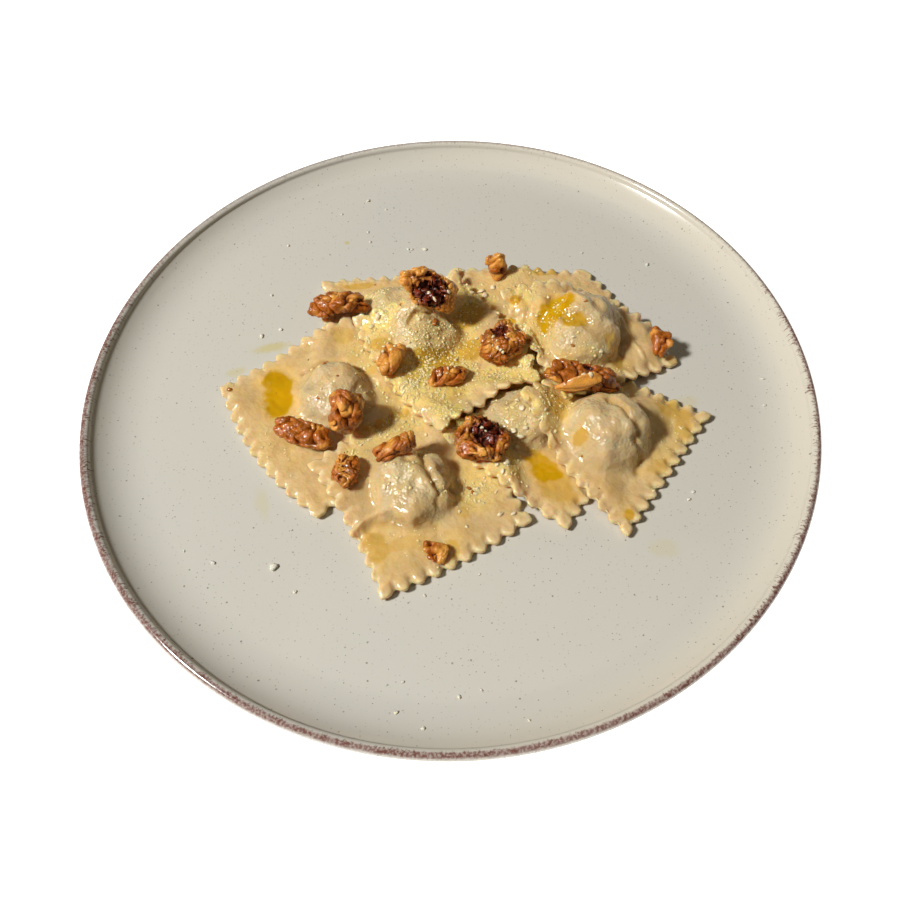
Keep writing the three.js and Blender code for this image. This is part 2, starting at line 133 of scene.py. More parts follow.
# Thin stains of oil on the plate, given in the same way.
STAINS = [
    (-72, 32, 8, 2.6, 10, 0.9), (-85, 20, 4.5, 2.4, 20, 0.6), (-43.3, 89.7, 1.3, 1.1, 0, 1),
    (-69, -40, 3, 8, 15, 0.35), (74, -62, 6, 4, 0, 0.35), (93, 0, 5, 3, 0, 0.4),
]

# How each walnut piece is broken: the size of its lobes, how pale it is, and where they differ from
# most, how wrinkled it is and where its hollow lies, pushed in and darkened by painted shade (x, y, z,
# reach).
WALNUTS = {
    "arched": (4.6, 0.12),
    "hollow_quarter": (5.0, 0.75, 0.4, (-6, 37, 34, 8)),
    "stub": (8.0, 0.6, 0.22, (26, 63, 17, 3.4)),
    "kernel": (3.6, 0.42, 0.5, (20.5, 23, 27, 4.6)),
    "cheesy": (6.0, 0.75),
    "oval": (5.0, 0.35),
    "long": (4.8, 0.12, 0.22, (52, 3, 30, 3.5)),
    "three_lobes": (5.2, 0.25),
    "lobed": (4.6, 0.15),
    "upright": (6.0, 0.45),
    "brain": (3.2, 0.35, 0.6),
    "oblong": (4.6, 0.4),
    "dark_core": (4.0, 0.4, 0.5, (13.5, -20.5, 23, 7.5)),
    "crumb": (6.0, 0.5),
}

# A flap of papery husk on the long walnut piece: points along its lower and upper edge.
HUSK = {
    "lower": [(39.0, -3.6, 25.2), (42.5, -4.8, 24.6), (46.7, -5.2, 24.6), (50.3, -5.2, 25.2),
              (53.4, -4.9, 27.0), (55.8, -4.0, 29.4)],
    "upper": [(39.2, -3.2, 25.6), (42.2, -3.6, 28.0), (45.5, -3.4, 30.0), (49.4, -3.1, 31.6),
              (53.0, -2.6, 33.2), (55.9, -3.0, 30.6)],
}

# Where grated cheese lies on the food: x, y, half length, half width, turn in degrees, strength.
DRIFTS = [
    (-4, 15, 26, 20, 50, 0.75), (-12, 9, 15, 11, 60, 0.9), (-25, 37, 12, 7, 40, 0.9),
    (8, 48, 13, 8, 40, 0.7), (22, 10, 15, 8, 10, 0.8), (0, -10, 6, 14, 30, 0.8), (-6, 30, 15, 13, 0, 0.6),
    (18, -27, 11, 6, -50, 0.55), (26, -12, 8, 10, 0, 0.6), (40, -8, 9, 11, 0, 0.55),
    (9, -38, 12, 8, 40, 0.55), (-22, -13, 16, 7, 20, 0.5), (-35, -26, 5, 8, 0, 0.4),
    (38, 26, 14, 12, 0, 0.4), (-14, -36, 12, 10, 0, 0.22), (-42, 8, 11, 9, 0, 0.1),
    (52, 11, 16, 7, -20, 0.5), (30, 42, 8, 7, 0, 0.5), (-33, 22, 8, 13, 0, 0.35), (-27, 50, 12, 8, 0, 0.4),
    (28, 62, 14, 6, 0, 0.25), (60, 5, 12, 4, 0, 0.35), (82, -20, 14, 14, 0, 0.12),
    (-62, -14, 14, 14, 0, 0.12), (-14, -58, 18, 10, 0, 0.12),
]

# Larger flakes of cheese on the food: x, y, size.
FLAKES = [
    (10.8, 53.2, 2.6), (15, 56, 3.2), (16.3, 53.9, 2.6), (13.9, 49, 2.4), (9.8, 47.9, 1.8), (20, 58, 2.4),
    (-27.4, 36.4, 3), (-30, 33, 2.4), (4.2, 40.3, 1.6), (0.9, 35.7, 2.2), (-4.3, 32.9, 2.4), (-6.5, 35, 2),
    (11.7, 28.1, 1.6), (17.5, 20, 1.8), (20.2, 13.9, 1.6), (2.4, -34.5, 2), (20.3, -29.8, 2.6),
    (18.9, -33.6, 2.4), (16.8, -31, 1.8), (9.6, -38, 1.2), (17.1, -48.7, 2.4), (21.9, -48.6, 2.2),
    (2.7, -47.2, 1.2), (5, -53.3, 1.2), (26, -19.8, 3.2), (23.6, -18, 2.4), (24.6, -22, 2.4), (28, -17, 2),
    (51.7, -3.3, 2.4), (49.5, -2.4, 2.2), (54.9, -1.6, 2.4), (67.6, -0.5, 3), (64.5, 0.5, 2),
    (27, -9.9, 2.6), (25.4, -6, 2.2), (33, -15.9, 2), (30, -10.6, 1.6), (35, -13, 1.4), (48, 18, 1.6),
    (58.5, 13.3, 1.8), (-2, 12, 1.8), (3, 18, 1.6), (-7, 22, 1.4), (-33, -20, 1.4), (-48, 2, 1),
    (-24.4, 18.4, 1.5), (-22.8, 19.3, 1.3), (-21.6, 16.4, 1.4), (-20.2, 18.1, 1.2), (-24.7, 15.5, 1.3),
    (-1.9, 7.2, 1.5), (0, 8.2, 1.4), (2.7, 10, 1.1), (-3.1, 5.7, 1.3), (-0.5, 5.9, 1.1), (19.2, 15, 1.8),
    (17.4, 16.7, 1.3), (21, 13.2, 1.4), (18.9, 17.7, 1.2), (11.7, -19, 1.6), (13.1, -20.1, 1.2),
]

# Crumbs of cheese that fell wide, on the plate: x, y, size.
STRAY_CRUMBS = [
    (-62.7, -65.1, 3.1), (-8.7, 84.2, 2.4), (-14.5, 84.4, 1.6), (-34.6, 115.8, 1.8), (-26.3, 110, 1.4),
    (-34, 95.8, 1.4), (-33, 89.8, 1.2), (-16.1, 84.8, 1.6), (-69.3, 88.9, 1.4), (-46.3, 107.5, 1.1),
    (59.9, 79.7, 1.2), (0.7, -112, 1.6), (7.9, -109.9, 1.2), (-19.4, -116.7, 1.4), (-10.9, -122.2, 1.4),
    (22.4, -120.4, 1.2), (123.7, 9.2, 2), (121.9, -3.2, 1.6), (87.3, 71.8, 1.8), (-74.1, 59.9, 1.5),
    (-76.3, 38, 2.2), (-68.9, 41.2, 1.6), (-84.2, -62.9, 2.2), (-54.6, -74.6, 1.4), (-10, -77.3, 1.3),
    (-17.4, -106.6, 1.2), (88, -40, 1.6), (86, -43, 1.4), (9, -70, 1.1), (-95, -58, 1),
]

# Crumbs of walnut, from the breaking: x, y, size.
NUT_CRUMBS = [
    (-48, 18.3, 3.2), (-47.6, 13.3, 1.6), (-49.3, -1.4, 1.4), (-41.8, 6, 1.3), (-5, 30.8, 3.4),
    (-85.4, 8.2, 2.2), (6.4, -38, 2), (7.6, -39.4, 1.4), (47.7, 15.1, 1.9), (53.6, 31.2, 1.5),
    (-55.3, 21.1, 0.8), (-29.9, 61.2, 0.9), (47.8, -28.1, 1), (81.4, -23.6, 0.6), (52.9, -40.6, 0.6),
    (-67.3, 7, 0.6),
]


# ---- modelling helpers


def on_plate(x, y, z=0.0):
    """A place about the middle of the serving in millimetres, as the frame has it."""
    return (Vector((x, y, z)) + Vector(SERVING)) * MM


def activate(piece):
    """Deselects everything, then selects one piece and makes it the active one."""
    bpy.ops.object.select_all(action="DESELECT")
    piece.select_set(True)
    bpy.context.view_layer.objects.active = piece


def new_primitive(kind, name, **settings):
    """Adds one of Blender's meshes as the start of a piece, with nothing else selected."""
    bpy.ops.object.select_all(action="DESELECT")
    getattr(bpy.ops.mesh, f"primitive_{kind}_add")(**settings)
    piece = bpy.context.object
    piece.name = piece.data.name = name
    return piece


def finish_with(piece, kind, **settings):
    """Adds a modifier and applies it."""
    activate(piece)
    modifier = piece.modifiers.new(kind.title(), kind)
    for name, value in settings.items():
        setattr(modifier, name, value)
    bpy.ops.object.modifier_apply(modifier=modifier.name)


def copy_of(node, name):
    """A copy of a CAD node as one connected mesh, with nothing on it yet."""
    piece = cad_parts[node].copy()
    piece.data = piece.data.copy()
    piece.name = piece.data.name = name
    for key in list(piece.keys()):
        del piece[key]
    piece.parent = None
    bpy.context.scene.collection.objects.link(piece)
    activate(piece)
    bpy.ops.object.mode_set(mode="EDIT")
    bpy.ops.mesh.select_all(action="SELECT")
    bpy.ops.mesh.remove_doubles(threshold=1e-6)
    bpy.ops.object.mode_set(mode="OBJECT")
    return piece


def read_vertices(piece, what):
    values = np.empty(len(piece.data.vertices) * 3, np.float32)
    piece.data.vertices.foreach_get(what, values)
    return values.reshape(-1, 3)


def points_of(piece):
    """The vertices' places in millimetres from the middle of the serving."""
    return read_vertices(piece, "co").astype(float) / MM - SERVING


def hollowness(piece, rounds):
    """How far each vertex lies below the average of those around it, in millimetres."""
    points = points_of(piece)
    ends = np.empty(2 * len(piece.data.edges), np.int32)
    piece.data.edges.foreach_get("vertices", ends)
    start, end = np.concatenate([ends[0::2], ends[1::2]]), np.concatenate([ends[1::2], ends[0::2]])
    count = np.maximum(np.bincount(start, minlength=len(points)), 1)
    around = points.copy()
    for _ in range(rounds):
        sums = [np.bincount(start, around[end, axis], len(points)) for axis in range(3)]
        around = (around + np.stack(sums, axis=1) / count[:, None]) / 2
    return np.sum((around - points) * read_vertices(piece, "normal"), axis=1)


def weigh(piece, weights, levels=64):
    """The name of a new vertex group with these weights, rounded to a number of levels."""
    group = piece.vertex_groups.new(name="weights")
    steps = np.rint(np.clip(weights, 0, 1) * levels).astype(int)
    for step in range(1, levels + 1):
        members = np.nonzero(steps == step)[0]
        if len(members):
            group.add(members.tolist(), step / levels, "REPLACE")
    return group.name


def paint(piece, **numbers):
    """Numbers from 0 to 1 on each vertex, which a material reads by their names."""
    for name, values in numbers.items():
        layer = piece.data.attributes.new(name, "FLOAT", "POINT")
        spread = np.zeros(len(piece.data.vertices)) + values
        layer.data.foreach_set("value", np.clip(spread, 0, 1).astype(np.float32))


def smooth_step(low, high, values):
    share = np.clip((values - low) / (high - low), 0, 1)
    return share * share * (3 - 2 * share)


def noise_at(points, feature, seed=0.0):
    """Smooth noise from about -1 to 1 at each point, with features of a size in millimetres."""
    shift = Vector((seed, 2.3 * seed, -1.7 * seed))
    return np.array([noise.noise(Vector(p) / feature + shift) for p in points])


def distance_to_line(points, line):
    """How far points are, seen from above, from a line of straight stretches."""
    nearest = np.full(len(points), 1e9)
    for start, end in zip(line[:-1], line[1:]):
        a = np.array(start, float)
        along = np.array(end, float) - a
        share = np.clip((points[:, :2] - a) @ along / max(along @ along, 1e-12), 0, 1)
        nearest = np.minimum(nearest, np.linalg.norm(points[:, :2] - a - share[:, None] * along, axis=1))
    return nearest


def smooth(piece, iterations, weights=None, factor=0.5):
    """Evens out a piece, all over or by weights."""
    group = "" if weights is None else weigh(piece, weights)
    finish_with(piece, "SMOOTH", factor=factor, iterations=iterations, vertex_group=group)


def displace(piece, weights, strength, texture=None):
    """Moves vertices along their normals by millimetres, evenly or by a texture, as far as they weigh."""
    settings = {"vertex_group": weigh(piece, weights), "strength": strength * MM, "mid_level": 0.0}
    if texture:
        settings.update(texture=texture, texture_coords="LOCAL", mid_level=0.5)
    finish_with(piece, "DISPLACE", **settings)


def texture(kind, feature, **settings):
    """A procedural texture whose features are a size in millimetres."""
    name = f"{kind.lower()}_{feature}"
    made = bpy.data.textures.get(name) or bpy.data.textures.new(name, kind)
    made.noise_scale = feature * MM
    for key, value in settings.items():
        setattr(made, key, value)
    return made


def serve(piece, material, slot, *nodes):
    """Gives a finished piece its material and its place in the frame."""
    piece.vertex_groups.clear()
    piece.data.materials.clear()
    piece.data.materials.append(material)
    activate(piece)
    bpy.ops.object.shade_smooth()
    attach(piece, "root")
    if nodes:
        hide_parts(*nodes)


# ---- shader helpers


class Field:
    """What a shader node puts out over a surface. With +, - and * it goes on into Math nodes."""

    def __init__(self, socket):
        self.socket, self.tree = socket, socket.id_data

    def __getitem__(self, output):
        """Another output of the same node."""
        return Field(self.socket.node.outputs[output])

    def __add__(self, other):
        return self.maths("ADD", self, other)

    def __sub__(self, other):
        return self.maths("SUBTRACT", self, other)

    def __rsub__(self, other):
        return self.maths("SUBTRACT", other, self)

    def __mul__(self, other):
        return self.maths("MULTIPLY", self, other)

    def maths(self, operation, first, second):
        return add_node(self.tree, "Math", {0: first, 1: second}, operation=operation)


def feed(node, inputs):
    """Sets a node's inputs, by name or number, to values, or links them to fields."""
    for name, value in inputs.items():
        socket = node.inputs[name]
        if isinstance(value, Field):
            node.id_data.links.new(value.socket, socket)
        elif socket.type == "RGBA":
            socket.default_value = (*value, 1.0)
        else:
            socket.default_value = value


def add_node(tree, kind, inputs=None, output=0, **settings):
    """One output of a new shader node with these settings and inputs."""
    made = tree.nodes.new("ShaderNode" + kind)
    for name, value in settings.items():
        setattr(made, name, value)
    feed(made, inputs or {})
    return Field(made.outputs[output])


def larger(first, second):
    return first.maths("MAXIMUM", first, second)


def vector_maths(operation, first, second=(0, 0, 0)):
    return add_node(first.tree, "VectorMath", {0: first, 1: second}, operation=operation)


def cloud_noise(place, scale, detail=3.0, roughness=0.5):
    inputs = {"Vector": place, "Scale": scale, "Detail": detail, "Roughness": roughness}
    return add_node(place.tree, "TexNoise", inputs)


def ramp(value, low, high, to_low=0.0, to_high=1.0):
    """Maps a value from one range to another, smoothly and held at both ends."""
    inputs = {"Value": value, "From Min": low, "From Max": high, "To Min": to_low, "To Max": to_high}
    return add_node(value.tree, "MapRange", inputs, interpolation_type="SMOOTHSTEP")


def mix(share, first, second):
    """Mixes two colours."""
    return add_node(share.tree, "Mix", {0: share, 6: first, 7: second}, output=2, data_type="RGBA")


def painted(place, name):
    """The number that was painted on the vertices under this name."""
    return add_node(place.tree, "Attribute", output="Fac", attribute_name=name)


def cloudy(place, scale, contrast):
    """Soft patches from 0 to 1, as dough, glaze and skins have in their colour."""
    return ramp(cloud_noise(place, scale, 3.0, 0.55), 0.5 - contrast, contrast + 0.5)


def pimpled(place, scale, grain):
    """The height of fine round pimples over a rougher grain, as wet dough, cheese and nuts have."""
    inputs = {"Vector": place, "Scale": scale, "Smoothness": 0.6}
    pimples = add_node(place.tree, "TexVoronoi", inputs, feature="SMOOTH_F1")
    return cloud_noise(place, scale * 1.7, 4.0) * grain - pimples["Distance"]


EFFECTS = {"cloudy": (cloudy, "Contrast", "Value"), "pimpled": (pimpled, "Grain", "Height")}


def effect(name, place, scale, amount):
    """Places an effect's node group, which is built when it is first asked for."""
    build, setting, output = EFFECTS[name]
    group = bpy.data.node_groups.get(name)
    if not group:
        group = bpy.data.node_groups.new(name, "ShaderNodeTree")
        for label, end, kind in (("Vector", "INPUT", "Vector"), ("Scale", "INPUT", "Float"),
                                 (setting, "INPUT", "Float"), (output, "OUTPUT", "Float")):
            group.interface.new_socket(label, in_out=end, socket_type="NodeSocket" + kind)
        start = Field(group.nodes.new("NodeGroupInput").outputs["Vector"])
        feed(group.nodes.new("NodeGroupOutput"), {output: build(start, start["Scale"], start[setting])})
    return add_node(place.tree, "Group", {"Vector": place, "Scale": scale, setting: amount}, node_tree=group)


def set_surface(material, **inputs):
    """Sets or links inputs of a material's surface, with _ for the spaces in their names."""
    surface = material.node_tree.nodes["Principled BSDF"]
    feed(surface, {name.replace("_", " "): value for name, value in inputs.items()})


def new_material(name, **constants):
    """A material with a Principled surface whose constants are set on its own sockets."""
    material = bpy.data.materials.new(name)
    material.use_nodes = True
    set_surface(material, **constants)
    return material


def object_place(material):
    return add_node(material.node_tree, "TexCoord", output="Object")


def bumpy(height, depth, strength):
    """A normal from a height that is worth a depth in millimetres."""
    return add_node(height.tree, "Bump", {"Strength": strength, "Distance": depth * MM, "Height": height})


# ---- settings


def tint(name, description, *default):
    return FloatVectorProperty(name=name, description=description, default=default, subtype="COLOR",
                               min=0, max=1)


def length(name, description, millimetres):
    return FloatProperty(name=name, description=description, default=millimetres * MM, unit="LENGTH")


class PlateSettings(bpy.types.PropertyGroup):
    steps: IntProperty(name="Steps round", description="Segments round the plate", default=288, min=48)
    glaze: tint("Glaze", "Colour of the glaze", 0.60, 0.575, 0.505)
    # The wall colour is a creamier glaze tone and also painted light: it is laid mostly on the lit
    # right-hand wall.
    cream: tint("Wall", "Colour of the glaze up the wall", 0.67, 0.61, 0.495)
    speck: tint("Specks", "Colour of the iron specks", 0.16, 0.135, 0.095)
    rim: tint("Rim", "Colour brushed on the rim", 0.165, 0.064, 0.048)
    worn_rim: tint("Worn rim", "Colour of the rim where it is thin", 0.335, 0.225, 0.20)
    stain: tint("Stains", "Colour of the glaze under oil", 0.60, 0.52, 0.27)
    lip: length("Lip", "Thickness of the lip", 3.8)
    well: length("Well", "Radius of the flat well", 116.5)
    foot: length("Foot", "Outer radius of the foot ring", 88)


class DoughSettings(bpy.types.PropertyGroup):
    grid: length("Grid", "Size of the mesh's squares", 0.42)
    cream: tint("Cream", "Colour of the dough", 0.675, 0.47, 0.225)
    deep: tint("Deep", "Colour of its darker patches", 0.64, 0.42, 0.16)
    filling: tint("Filling", "Colour where the filling shows through", 0.53, 0.42, 0.235)
    edge: tint("Edge", "Colour of the thin fluted edge", 0.77, 0.575, 0.30)
    # Crease: painted shade, a darker colour laid in the folds and hollows of the dough.
    crease: tint("Crease", "Colour deep in the folds", 0.47, 0.245, 0.04)
    cheese: tint("Cheese film", "Colour under the grated cheese", 0.93, 0.655, 0.19)
    grains: tint("Cheese grains", "Colour of the fine grains in that film", 0.93, 0.75, 0.40)
    oil: tint("Oil", "Colour of pooled oil", 0.60, 0.325, 0.002)
    soaked: tint("Soaked", "Colour of dough soaked round the oil", 0.80, 0.52, 0.18)


class WalnutSettings(bpy.types.PropertyGroup):
    grid: length("Grid", "Size of the mesh's squares", 0.3)
    skin: tint("Skin", "Colour of the toasted skin", 0.50, 0.130, 0.007)
    flesh: tint("Flesh", "Colour of broken faces and worn ridges", 0.73, 0.32, 0.05)
    # Crease: painted shade, the dark colour laid in the walnut's folds.
    crease: tint("Crease", "Colour deep in the folds", 0.10, 0.013, 0.002)
    # Core: painted shade, the dark colour laid in the pushed-in hollow of some pieces.
    core: tint("Core", "Colour of the dark wet inside", 0.21, 0.022, 0.005)


class CheeseSettings(bpy.types.PropertyGroup):
    seed: IntProperty(name="Seed", description="Seed of the draw that lets the crumbs fall", default=11)
    thickness: FloatProperty(name="Thickness", description="Crumbs on a square millimetre of a full drift",
                             default=1.7, min=0)
    smallest: length("Smallest", "Smallest crumb", 0.6)
    largest: length("Largest", "Largest crumb", 1.6)
    tone: tint("Cheese", "Colour of the cheese", 0.92, 0.71, 0.36)
    dry: tint("Dry cheese", "Colour of crumbs that the oil didn't reach", 0.70, 0.66, 0.56)


class StageSettings(bpy.types.PropertyGroup):
    elevation: FloatProperty(name="Elevation", description="Camera's height over the plate",
                             default=math.radians(58.68), subtype="ANGLE")
    roll: FloatProperty(name="Roll", description="Camera's turn about its line of sight",
                        default=math.radians(-1.55), subtype="ANGLE")
    distance: length("Distance", "From the camera to what it looks at", 318.5)
    lens: FloatProperty(name="Lens", description="Focal length", default=34.0, subtype="DISTANCE_CAMERA")


# ---- the plate


def curve_points(start, pull, push, end, steps):
    """Points along a Bezier curve after its start, from four corners in millimetres."""
    corners = [Vector(p) for p in (start, pull, push, end)]
    points = []
    for i in range(1, steps + 1):
        t = i / steps
        weights = ((1 - t) ** 3, 3 * t * (1 - t) ** 2, 3 * t * t * (1 - t), t ** 3)
        points.append(sum((w * c for w, c in zip(weights, corners)), Vector((0, 0))))
    return points


def plate_section(settings):
    """The plate's section as (radius, height) in millimetres, from its underside to the well."""
    rim, height, lip = RIM_RADIUS / MM, RIM_HEIGHT / MM, settings.lip / MM
    well, foot, floor = settings.well / MM, settings.foot / MM, WELL_HEIGHT / MM
    lip_z = height - lip / 2
    ring = ((0, 3), (foot - 8, 3), (foot - 5.8, 2.6), (foot - 5.2, 0.8), (foot - 4.4, 0),
            (foot - 0.6, 0), (foot, 0.6), (foot + 1.2, 2.4), (foot + 2, 3))
    section = [Vector(p) for p in ring]
    section += curve_points((foot + 2, 3), (well + 8, 3.5), (rim - 3, floor - 3), (rim, lip_z), 14)
    for i in range(1, 12):
        angle = math.pi * i / 12
        turned = Vector((math.cos(angle), math.sin(angle)))
        section.append(Vector((rim - lip / 2, lip_z)) + lip / 2 * turned)
    section.append(Vector((rim - lip, lip_z)))
    section += curve_points((rim - lip, lip_z), (rim - lip - 4.2, floor + 2.8), (well + 10.5, floor + 0.2),
                            (well, floor), 26)
    section += [Vector((well * share, floor)) for share in (0.9, 0.6, 0.3, 0)]
    return section


def patch_mask(place, patch):
    """How strongly a place lies in one ragged oval patch on the plate."""
    x, y, half_length, half_width, turn, strength = patch
    offset = vector_maths("SUBTRACT", place, on_plate(x, y))
    inputs = {"Vector": offset, "Angle": -math.radians(turn)}
    turned = add_node(place.tree, "VectorRotate", inputs, rotation_type="Z_AXIS")
    squared = vector_maths("MULTIPLY", turned, (1 / (half_length * MM), 1 / (half_width * MM), 0))
    away = vector_maths("LENGTH", squared)["Value"]
    return ramp(away + cloud_noise(place, 320.0), 0.9, 1.7, strength, 0.0)


def speckled(place, base, speck):
    """Puts iron specks of three sizes on a colour, most of them fine and faint."""
    shift = vector_maths("MULTIPLY", cloud_noise(place, 900.0, 2.0)["Color"], (0.5 * MM,) * 3)
    bent = vector_maths("ADD", place, shift)
    for cell, reach, share in ((2.4, 0.25, 0.72), (1.5, 0.17, 0.76), (7.0, 0.38, 0.66)):
        inputs = {"Vector": bent, "Scale": 1 / MM / cell}
        cells = add_node(place.tree, "TexVoronoi", inputs, voronoi_dimensions="2D")
        picked = add_node(place.tree, "SeparateColor", {"Color": cells["Color"]})
        size = ramp(picked[0], share, share + 0.08, 0.0, reach / cell)
        dot = ramp(size - cells["Distance"], 0.0, 0.1 / cell)
        base = mix(dot * ramp(picked[1], 0.0, 1.0, 0.15, 0.75), base, speck)
    return base


def brushed_rim(place, height, base, settings):
    """Brushes brown on the lip in short radial strokes, dark along its inner edge and worn outside."""
    level = vector_maths("MULTIPLY", place, (1, 1, 0))
    radius = vector_maths("LENGTH", level)["Value"]
    spoke = vector_maths("NORMALIZE", level)
    side = add_node(place.tree, "SeparateXYZ", {"Vector": spoke})
    left = ramp(side[0], -0.95, -0.55, 1.0, 0.0)
    behind = ramp(side[1], 0.1, 0.75, 1.0, 0.42)
    front = ramp(side[1], -0.95, -0.45, 0.3, 1.0)
    edge = radius - (RIM_RADIUS - settings.lip + 1.5 * MM) - ramp(side[0], 0.2, 0.85) * (0.5 * MM)
    drawn_out = add_node(place.tree, "CombineXYZ", {"X": side[0], "Y": side[1], "Z": radius * 2.4})
    streaks = cloud_noise(drawn_out, 190.0, roughness=0.65)
    mottle = cloud_noise(place, 1100.0)
    fullness = ramp(cloud_noise(spoke, 26.0), 0.36, 0.6, 0.65, 1.0) * behind
    reach = ramp(streaks, 0.36, 0.72, -0.3 * MM, 2.5 * MM) * fullness * front
    inside = ramp(edge + reach, -0.3 * MM, 0.4 * MM)
    high = ramp(height, RIM_HEIGHT - 7 * MM, RIM_HEIGHT - 3.4 * MM)
    outward = ramp(edge, 1.1 * MM, 2.2 * MM, 1.0, 0.15)
    thin = ramp(edge, -0.5 * MM, 0.6 * MM) * high * ramp(mottle, 0.36, 0.6, 0.5, 1.0)
    base = mix(thin * behind * larger(outward, left), base, settings.worn_rim)
    dark = inside * high * outward * ramp(mottle, 0.36, 0.62, 0.35, 1.0)
    return mix(dark * fullness, base, settings.rim)


def glaze_material(settings):
    """Warm grey glaze, creamier up the wall and lighter on the wall's lit right side as painted light, with
    fine iron specks and a brown brushed round the lip.
    """
    material = new_material("speckled_glaze", Roughness=0.14, Coat_Weight=0.4, Coat_Roughness=0.04, IOR=1.5)
    place = object_place(material)
    split = add_node(place.tree, "SeparateXYZ", {"Vector": place})
    warm = Vector(settings.glaze).lerp(Vector(settings.cream), 0.3)
    base = mix(effect("cloudy", place, 11.0, 0.25), settings.glaze, warm)
    # Creamier and lighter up the wall, most on the right where the light falls: glaze tone with painted
    # light.
    wall = ramp(split[2], WELL_HEIGHT + 0.1 * MM, WELL_HEIGHT + 4 * MM, 0.0, 0.9)
    base = mix(wall * ramp(split[0], -60 * MM, 90 * MM, 0.1, 1.0), base, settings.cream)
    for stain in STAINS:
        base = mix(patch_mask(place, stain), base, settings.stain)
    base = speckled(place, base, settings.speck)
    base = brushed_rim(place, split[2], base, settings)
    set_surface(material, Base_Color=base, Normal=bumpy(cloud_noise(place, 28.0, 2.0), 0.2, 0.5))
    return material


class RAVIOLI_OT_plate(bpy.types.Operator):
    """Turn the stoneware plate and glaze it"""

    bl_idname = "ravioli.plate"
    bl_label = "Turn the plate"

    def execute(self, context):
        settings = context.scene.ravioli_plate
        section = plate_section(settings)
        piece = new_primitive("plane", "stoneware_plate", size=MM)
        bpy.ops.object.mode_set(mode="EDIT")
        bpy.ops.mesh.select_all(action="SELECT")
        bpy.ops.mesh.merge(type="CENTER")
        bpy.ops.transform.translate(value=(section[0].x * MM, 0, section[0].y * MM))
        for before, after in zip(section[:-1], section[1:]):
            step = (after - before) * MM
            bpy.ops.mesh.extrude_region_move(TRANSFORM_OT_translate={"value": (step.x, 0, step.y)})
        bpy.ops.mesh.select_all(action="SELECT")
        bpy.ops.mesh.spin(steps=settings.steps, angle=2 * math.pi, center=(0, 0, 0), axis=(0, 0, 1))
        bpy.ops.mesh.select_all(action="SELECT")
        bpy.ops.mesh.remove_doubles(threshold=1e-6)
        bpy.ops.mesh.normals_make_consistent(inside=False)
        bpy.ops.object.mode_set(mode="OBJECT")
        serve(piece, glaze_material(settings), "glaze", "plate")
        return {"FINISHED"}


# ---- the ravioli


def ways_round(points, reach):
    """The ways to each point of a closed line from some points before it, and on to as many after."""
    return points - np.roll(points, reach, axis=0), np.roll(points, -reach, axis=0) - points


class Outline:
    """The fluted outline of a sheet, read from the upright faces of its edge."""

    def __init__(self, piece):
        links = {}
        for face in piece.data.polygons:
            if abs(face.normal.z) > 0.002:
                continue
            corners = [piece.data.vertices[i].co / MM - Vector(SERVING) for i in face.vertices]
            ends = {(round(corner.x, 3), round(corner.y, 3)) for corner in corners}
            if len(ends) == 2:
                a, b = ends
                links.setdefault(a, set()).add(b)
                links.setdefault(b, set()).add(a)
        ring, last = [min(links)], None
        while True:
            onward = [p for p in sorted(links[ring[-1]]) if p != last]
            last = ring[-1]
            if onward[0] == ring[0] or len(ring) > len(links):
                break
            ring.append(onward[0])
        points = np.array(ring)
        onward = np.roll(points, -1, axis=0)
        if np.sum(points[:, 0] * onward[:, 1] - onward[:, 0] * points[:, 1]) < 0:
            points = points[::-1]
        self.points = points
        into, out = ways_round(points, 1)
        notch = into[:, 0] * out[:, 1] - into[:, 1] * out[:, 0] < -0.2
        self.notches = points[notch]
        inward = (into - out)[notch]
        self.inward = inward / np.linalg.norm(inward, axis=1)[:, None]
        reach = max(1, int(round(5.5 / np.linalg.norm(out, axis=1).mean())))
        into, out = ways_round(points, reach)
        lengths = np.linalg.norm(into, axis=1) * np.linalg.norm(out, axis=1)
        self.corners = points[np.sum(into * out, axis=1) / lengths < 0.35]

    def distance(self, places):
        return distance_to_line(places, np.vstack([self.points, self.points[:1]]))

    def crimp(self, places, half_width=1.05, reach=3.8):
        """How deep in a groove each place is: the wheel presses one in from each notch."""
        depth = np.zeros(len(places))
        for notch, inward in zip(self.notches, self.inward):
            near = np.nonzero(np.linalg.norm(places[:, :2] - notch, axis=1) < reach + 1)[0]
            offset = places[near, :2] - notch
            along = offset @ inward
            across = offset[:, 0] * inward[1] - offset[:, 1] * inward[0]
            groove = np.exp(-(across / half_width) ** 2) * (1 - smooth_step(1.0, reach, along))
            depth[near] = np.maximum(depth[near], groove)
        return depth


def cover(places, patches, ragged, full, bare):
    """How strongly oval patches cover each place.

    A patch is full up to one share of its reach and ends at another, made ragged by noise.
    """
    most = np.zeros(len(places))
    for x, y, half_length, half_width, turn, strength in patches:
        angle = math.radians(turn)
        offset = places[:, :2] - (x, y)
        along = offset @ (math.cos(angle), math.sin(angle))
        across = offset @ (-math.sin(angle), math.cos(angle))
        share = np.hypot(along / half_length, across / half_width) + ragged
        most = np.maximum(most, strength * (1 - smooth_step(full, bare, share)))
    return most


